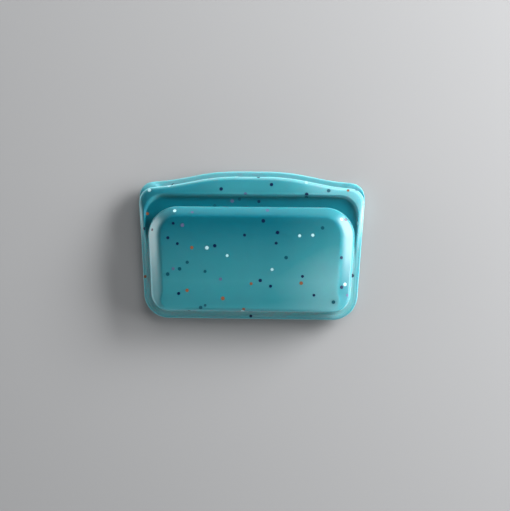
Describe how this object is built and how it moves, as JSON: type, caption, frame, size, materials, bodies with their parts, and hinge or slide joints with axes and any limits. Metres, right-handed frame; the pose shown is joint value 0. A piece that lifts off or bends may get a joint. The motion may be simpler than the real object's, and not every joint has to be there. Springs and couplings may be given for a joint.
{
  "type": "reusable silicone bag",
  "caption": "Flat silicone snack bag with a bonded three-side seam, pillow pouch, arched front and back lips and a rib-and-track press seal.",
  "frame": {"origin": "on the surface that the bag's back lies on, under the middle of its length and width", "axes": "+X across the bag, +Y from the bottom seam to the mouth, +Z out of the front face"},
  "size_m": [0.19, 0.124, 0.022],
  "materials": {
    "teal_silicone": "satin translucent moulded silicone",
    "seam_silicone": "satin"
  },
  "bodies": {
    "pouch": {"front_panel": "teal_silicone", "back_panel": "teal_silicone", "seam_bond": "seam_silicone"},
    "front_lip": {"front_lip": "teal_silicone", "seal_rib": "teal_silicone"},
    "back_lip": {"back_lip": "teal_silicone", "inner_track_rail": "teal_silicone", "outer_track_rail": "teal_silicone", "track_stops": "teal_silicone"}
  },
  "joints": [
    {"name": "front_lip_open", "type": "hinge", "parent": "pouch", "child": "front_lip", "pos_m": [0, 0.036, 0.01], "axis": [1, 0, 0], "range_deg": [0, 70], "stiffness_Nm_per_rad": 0.05},
    {"name": "back_lip_open", "type": "hinge", "parent": "pouch", "child": "back_lip", "pos_m": [0, 0.036, 0.004], "axis": [-1, 0, 0], "range_deg": [0, 50], "stiffness_Nm_per_rad": 0.05}
  ]
}
